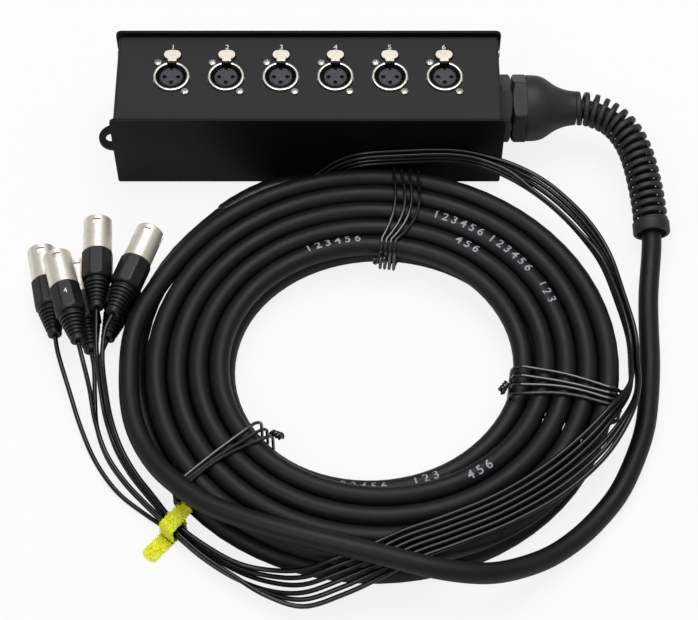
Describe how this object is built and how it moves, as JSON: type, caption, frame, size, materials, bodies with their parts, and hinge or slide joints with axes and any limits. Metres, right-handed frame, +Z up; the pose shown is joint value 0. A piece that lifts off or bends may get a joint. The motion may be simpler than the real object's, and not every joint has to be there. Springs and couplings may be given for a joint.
{
  "type": "stage box snake",
  "caption": "Low steel box with a row of locking microphone sockets on top, feeding a long coiled multicore cable that ends in plugged tails.",
  "frame": {"origin": "middle of the underside of the box, on the surface it stands on", "axes": "+X along the socket row from the ear to the cable gland, +Y away from the coil, +Z up"},
  "size_m": [0.4255, 0.3948, 0.0701],
  "materials": {
    "chassis_paint": "satin black powder coat",
    "panel_paint": "satin dark grey powder coat",
    "steel": "zinc plated",
    "nickel": "satin nickel plate",
    "insert_plastic": "dark grey moulding",
    "boot_rubber": "matte black",
    "gland_nylon": "matte black nylon",
    "cable_jacket": "matte flexible jacket",
    "tail_jacket": "smooth black jacket",
    "strap_yellow": "bright yellow strap"
  },
  "bodies": {
    "snake": {"chassis": "chassis_paint", "cover": "panel_paint", "side_screw_left_front": "steel", "side_screw_left_rear": "steel", "side_screw_right_front": "steel", "side_screw_right_rear": "steel", "socket_shell_1": "nickel", "socket_insert_1": "insert_plastic", "plug_shell_1": "nickel", "plug_insert_1": "insert_plastic", "plug_boot_1": "boot_rubber", "tail_cable_1": "tail_jacket", "socket_shell_2": "nickel", "socket_insert_2": "insert_plastic", "plug_shell_2": "nickel", "plug_insert_2": "insert_plastic", "plug_boot_2": "boot_rubber", "tail_cable_2": "tail_jacket", "socket_shell_3": "nickel", "socket_insert_3": "insert_plastic", "plug_shell_3": "nickel", "plug_insert_3": "insert_plastic", "plug_boot_3": "boot_rubber", "tail_cable_3": "tail_jacket", "socket_shell_4": "nickel", "socket_insert_4": "insert_plastic", "plug_shell_4": "nickel", "plug_insert_4": "insert_plastic", "plug_boot_4": "boot_rubber", "tail_cable_4": "tail_jacket", "socket_shell_5": "nickel", "socket_insert_5": "insert_plastic", "plug_shell_5": "nickel", "plug_insert_5": "insert_plastic", "plug_boot_5": "boot_rubber", "tail_cable_5": "tail_jacket", "socket_shell_6": "nickel", "socket_insert_6": "insert_plastic", "plug_shell_6": "nickel", "plug_insert_6": "insert_plastic", "plug_boot_6": "boot_rubber", "tail_cable_6": "tail_jacket", "gland_body": "gland_nylon", "gland_locknut": "gland_nylon", "dome_nut_with_spiral": "gland_nylon", "gland_seal": "boot_rubber", "multicore_lead": "cable_jacket", "multicore_coil": "cable_jacket", "breakout_sleeve": "boot_rubber", "core_loom": "tail_jacket", "twist_tie_rear": "tail_jacket", "twist_tie_right": "tail_jacket", "twist_tie_left": "tail_jacket", "yellow_strap": "strap_yellow"},
    "latch_1": {"latch_lever_1": "nickel"},
    "latch_2": {"latch_lever_2": "nickel"},
    "latch_3": {"latch_lever_3": "nickel"},
    "latch_4": {"latch_lever_4": "nickel"},
    "latch_5": {"latch_lever_5": "nickel"},
    "latch_6": {"latch_lever_6": "nickel"}
  },
  "joints": [
    {"name": "latch_press_1", "type": "hinge", "parent": "snake", "child": "latch_1", "pos_m": [-0.091, 0.0137, 0.0522], "axis": [-1, 0, 0], "range_deg": [0, 6], "stiffness_Nm_per_rad": 0.2, "springref_deg": -5.73},
    {"name": "latch_press_2", "type": "hinge", "parent": "snake", "child": "latch_2", "pos_m": [-0.0546, 0.0137, 0.0522], "axis": [-1, 0, 0], "range_deg": [0, 6], "stiffness_Nm_per_rad": 0.2, "springref_deg": -5.73},
    {"name": "latch_press_3", "type": "hinge", "parent": "snake", "child": "latch_3", "pos_m": [-0.0182, 0.0137, 0.0522], "axis": [-1, 0, 0], "range_deg": [0, 6], "stiffness_Nm_per_rad": 0.2, "springref_deg": -5.73},
    {"name": "latch_press_4", "type": "hinge", "parent": "snake", "child": "latch_4", "pos_m": [0.0182, 0.0137, 0.0522], "axis": [-1, 0, 0], "range_deg": [0, 6], "stiffness_Nm_per_rad": 0.2, "springref_deg": -5.73},
    {"name": "latch_press_5", "type": "hinge", "parent": "snake", "child": "latch_5", "pos_m": [0.0546, 0.0137, 0.0522], "axis": [-1, 0, 0], "range_deg": [0, 6], "stiffness_Nm_per_rad": 0.2, "springref_deg": -5.73},
    {"name": "latch_press_6", "type": "hinge", "parent": "snake", "child": "latch_6", "pos_m": [0.091, 0.0137, 0.0522], "axis": [-1, 0, 0], "range_deg": [0, 6], "stiffness_Nm_per_rad": 0.2, "springref_deg": -5.73}
  ]
}
